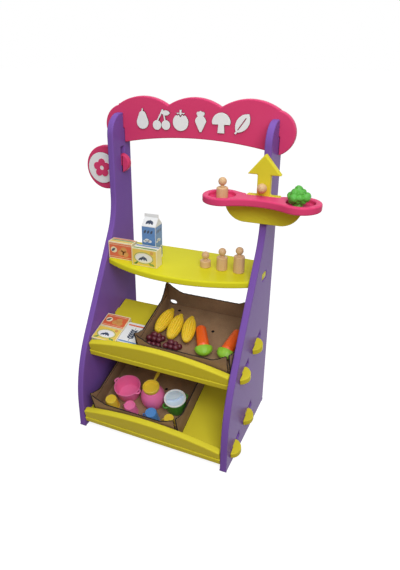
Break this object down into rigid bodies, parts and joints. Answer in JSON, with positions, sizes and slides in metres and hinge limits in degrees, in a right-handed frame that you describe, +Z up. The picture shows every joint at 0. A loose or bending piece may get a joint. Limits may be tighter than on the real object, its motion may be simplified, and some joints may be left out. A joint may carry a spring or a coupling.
{
  "type": "toy market stall",
  "caption": "Free-standing wooden toy market stall with a top shelf, sloping display shelves, header, hooked price sign, tilting balance, trays and play goods.",
  "frame": {"origin": "middle of the whole piece's box, on the floor", "axes": "+X to the right as a customer sees it, +Y from the customer to the back, +Z up"},
  "size_m": [0.759, 0.3926, 0.993],
  "materials": {
    "purple_lacquer": "gloss",
    "pink_lacquer": "gloss",
    "yellow_lacquer": "gloss",
    "white_lacquer": "gloss",
    "beech": "satin",
    "kraft_card": "matte",
    "red_print": "satin",
    "yellow_print": "satin",
    "white_print": "satin",
    "corn_plastic": "satin",
    "grape_plastic": "satin",
    "carrot_plastic": "satin",
    "leaf_plastic": "satin",
    "broccoli_plastic": "satin",
    "pink_plastic": "gloss",
    "yellow_plastic": "gloss",
    "green_plastic": "gloss",
    "blue_plastic": "gloss",
    "white_plastic": "gloss"
  },
  "bodies": {
    "stall": {"side_panel_left": "purple_lacquer", "side_panel_right": "purple_lacquer", "top_shelf": "yellow_lacquer", "pivot_peg": "beech"},
    "header": {"header_board": "pink_lacquer", "motif_pear": "white_lacquer", "motif_cherries": "white_lacquer", "motif_tomato": "white_lacquer", "motif_carrot": "white_lacquer", "motif_mushroom": "white_lacquer", "motif_leaf": "white_lacquer"},
    "sloping_shelf_middle": {"middle_shelf": "yellow_lacquer", "middle_lip": "yellow_lacquer", "middle_lip_dowels": "beech"},
    "sloping_shelf_bottom": {"bottom_shelf": "yellow_lacquer", "bottom_lip": "yellow_lacquer", "bottom_lip_dowels": "beech"},
    "price_sign": {"price_board": "pink_lacquer", "price_face": "white_lacquer", "price_mark": "pink_lacquer"},
    "balance": {"balance_board": "yellow_lacquer", "balance_beam": "pink_lacquer", "balance_dowels": "beech"},
    "carrot_left": {"carrot_left": "carrot_plastic", "carrot_left_top": "leaf_plastic"},
    "carrot_right": {"carrot_right": "carrot_plastic", "carrot_right_top": "leaf_plastic"},
    "weight_small": {"weight_small": "beech"},
    "weight_medium": {"weight_medium": "beech"},
    "weight_large": {"weight_large": "beech"},
    "weight_on_pan": {"weight_on_pan": "beech"},
    "broccoli": {"broccoli": "broccoli_plastic"},
    "milk_carton": {"milk_carton": "white_print"},
    "pack_red_upright": {"pack_red_upright": "red_print"},
    "pack_yellow_upright": {"pack_yellow_upright": "yellow_print"},
    "pack_red_flat": {"pack_red_flat": "red_print"},
    "pack_yellow_flat": {"pack_yellow_flat": "yellow_print"},
    "flour_pack": {"flour_pack": "white_print"},
    "upper_tray": {"upper_tray": "kraft_card"},
    "corn_left": {"corn_left": "corn_plastic"},
    "corn_middle": {"corn_middle": "corn_plastic"},
    "corn_right": {"corn_right": "corn_plastic"},
    "grapes_left": {"grapes_left": "grape_plastic"},
    "grapes_right": {"grapes_right": "grape_plastic"},
    "lower_tray": {"lower_tray": "kraft_card"},
    "pink_pot": {"pink_pot": "pink_plastic"},
    "pink_jug": {"pink_jug": "pink_plastic"},
    "yellow_pan": {"yellow_pan": "yellow_plastic"},
    "green_pot": {"green_pot": "green_plastic"},
    "white_lid": {"white_lid": "white_plastic"},
    "yellow_cup": {"yellow_cup": "yellow_plastic"},
    "pink_cup": {"pink_cup": "pink_plastic"},
    "blue_cup": {"blue_cup": "blue_plastic"},
    "small_cup": {"small_cup": "yellow_plastic"}
  },
  "joints": [
    {"name": "header_lift", "type": "slide", "parent": "stall", "child": "header", "axis": [0, 0, 1], "range_m": [0, 0.06]},
    {"name": "middle_shelf_unhook", "type": "slide", "parent": "stall", "child": "sloping_shelf_middle", "axis": [0, 0.9613, 0.2756], "range_m": [0, 0.028]},
    {"name": "bottom_shelf_unhook", "type": "slide", "parent": "stall", "child": "sloping_shelf_bottom", "axis": [0, 0.9613, 0.2756], "range_m": [0, 0.028]},
    {"name": "price_sign_unhook", "type": "slide", "parent": "stall", "child": "price_sign", "axis": [0, 0, 1], "range_m": [0, 0.021]},
    {"name": "balance_tilt", "type": "hinge", "parent": "stall", "child": "balance", "pos_m": [0.2195, 0.07431, 0.782], "axis": [0, 1, 0], "range_deg": [-12, 12]},
    {"name": "weight_small_lift", "type": "slide", "parent": "stall", "child": "weight_small", "axis": [0, 0, 1], "range_m": [0, 0.06]},
    {"name": "weight_medium_lift", "type": "slide", "parent": "stall", "child": "weight_medium", "axis": [0, 0, 1], "range_m": [0, 0.06]},
    {"name": "weight_large_lift", "type": "slide", "parent": "stall", "child": "weight_large", "axis": [0, 0, 1], "range_m": [0, 0.06]},
    {"name": "weight_on_pan_lift", "type": "slide", "parent": "balance", "child": "weight_on_pan", "axis": [0, 0, 1], "range_m": [0, 0.06]},
    {"name": "broccoli_lift", "type": "slide", "parent": "balance", "child": "broccoli", "axis": [0, 0, 1], "range_m": [0, 0.06]},
    {"name": "milk_carton_lift", "type": "slide", "parent": "stall", "child": "milk_carton", "axis": [0, 0, 1], "range_m": [0, 0.12]},
    {"name": "pack_red_upright_lift", "type": "slide", "parent": "stall", "child": "pack_red_upright", "axis": [0, 0, 1], "range_m": [0, 0.1]},
    {"name": "pack_yellow_upright_lift", "type": "slide", "parent": "stall", "child": "pack_yellow_upright", "axis": [0, 0, 1], "range_m": [0, 0.1]},
    {"name": "pack_red_flat_lift", "type": "slide", "parent": "sloping_shelf_middle", "child": "pack_red_flat", "axis": [0, -0.2756, 0.9613], "range_m": [0, 0.06]},
    {"name": "pack_yellow_flat_lift", "type": "slide", "parent": "sloping_shelf_middle", "child": "pack_yellow_flat", "axis": [0, -0.2756, 0.9613], "range_m": [0, 0.06]},
    {"name": "flour_pack_lift", "type": "slide", "parent": "sloping_shelf_middle", "child": "flour_pack", "axis": [0, -0.2756, 0.9613], "range_m": [0, 0.06]},
    {"name": "upper_tray_lift", "type": "slide", "parent": "sloping_shelf_middle", "child": "upper_tray", "axis": [0, -0.2756, 0.9613], "range_m": [0, 0.06]},
    {"name": "corn_left_lift", "type": "slide", "parent": "upper_tray", "child": "corn_left", "axis": [0, -0.2756, 0.9613], "range_m": [0, 0.05]},
    {"name": "corn_middle_lift", "type": "slide", "parent": "upper_tray", "child": "corn_middle", "axis": [0, -0.2756, 0.9613], "range_m": [0, 0.05]},
    {"name": "corn_right_lift", "type": "slide", "parent": "upper_tray", "child": "corn_right", "axis": [0, -0.2756, 0.9613], "range_m": [0, 0.05]},
    {"name": "grapes_left_lift", "type": "slide", "parent": "upper_tray", "child": "grapes_left", "axis": [0, -0.2756, 0.9613], "range_m": [0, 0.05]},
    {"name": "grapes_right_lift", "type": "slide", "parent": "upper_tray", "child": "grapes_right", "axis": [0, -0.2756, 0.9613], "range_m": [0, 0.05]},
    {"name": "carrot_left_lift", "type": "slide", "parent": "upper_tray", "child": "carrot_left", "axis": [0, -0.2756, 0.9613], "range_m": [0, 0.05]},
    {"name": "carrot_right_lift", "type": "slide", "parent": "upper_tray", "child": "carrot_right", "axis": [0, -0.2756, 0.9613], "range_m": [0, 0.05]},
    {"name": "lower_tray_lift", "type": "slide", "parent": "sloping_shelf_bottom", "child": "lower_tray", "axis": [0, -0.2756, 0.9613], "range_m": [0, 0.04]},
    {"name": "pink_pot_lift", "type": "slide", "parent": "lower_tray", "child": "pink_pot", "axis": [0, -0.2756, 0.9613], "range_m": [0, 0.05]},
    {"name": "pink_jug_lift", "type": "slide", "parent": "lower_tray", "child": "pink_jug", "axis": [0, -0.2756, 0.9613], "range_m": [0, 0.03]},
    {"name": "yellow_pan_lift", "type": "slide", "parent": "pink_jug", "child": "yellow_pan", "axis": [0, -0.2756, 0.9613], "range_m": [0, 0.014]},
    {"name": "green_pot_lift", "type": "slide", "parent": "lower_tray", "child": "green_pot", "axis": [0, -0.2756, 0.9613], "range_m": [0, 0.04]},
    {"name": "white_lid_lift", "type": "slide", "parent": "green_pot", "child": "white_lid", "axis": [0, -0.2756, 0.9613], "range_m": [0, 0.025]},
    {"name": "yellow_cup_lift", "type": "slide", "parent": "lower_tray", "child": "yellow_cup", "axis": [0, -0.2756, 0.9613], "range_m": [0, 0.05]},
    {"name": "pink_cup_lift", "type": "slide", "parent": "lower_tray", "child": "pink_cup", "axis": [0, -0.2756, 0.9613], "range_m": [0, 0.05]},
    {"name": "blue_cup_lift", "type": "slide", "parent": "lower_tray", "child": "blue_cup", "axis": [0, -0.2756, 0.9613], "range_m": [0, 0.05]},
    {"name": "small_cup_lift", "type": "slide", "parent": "lower_tray", "child": "small_cup", "axis": [0, -0.2756, 0.9613], "range_m": [0, 0.05]}
  ]
}
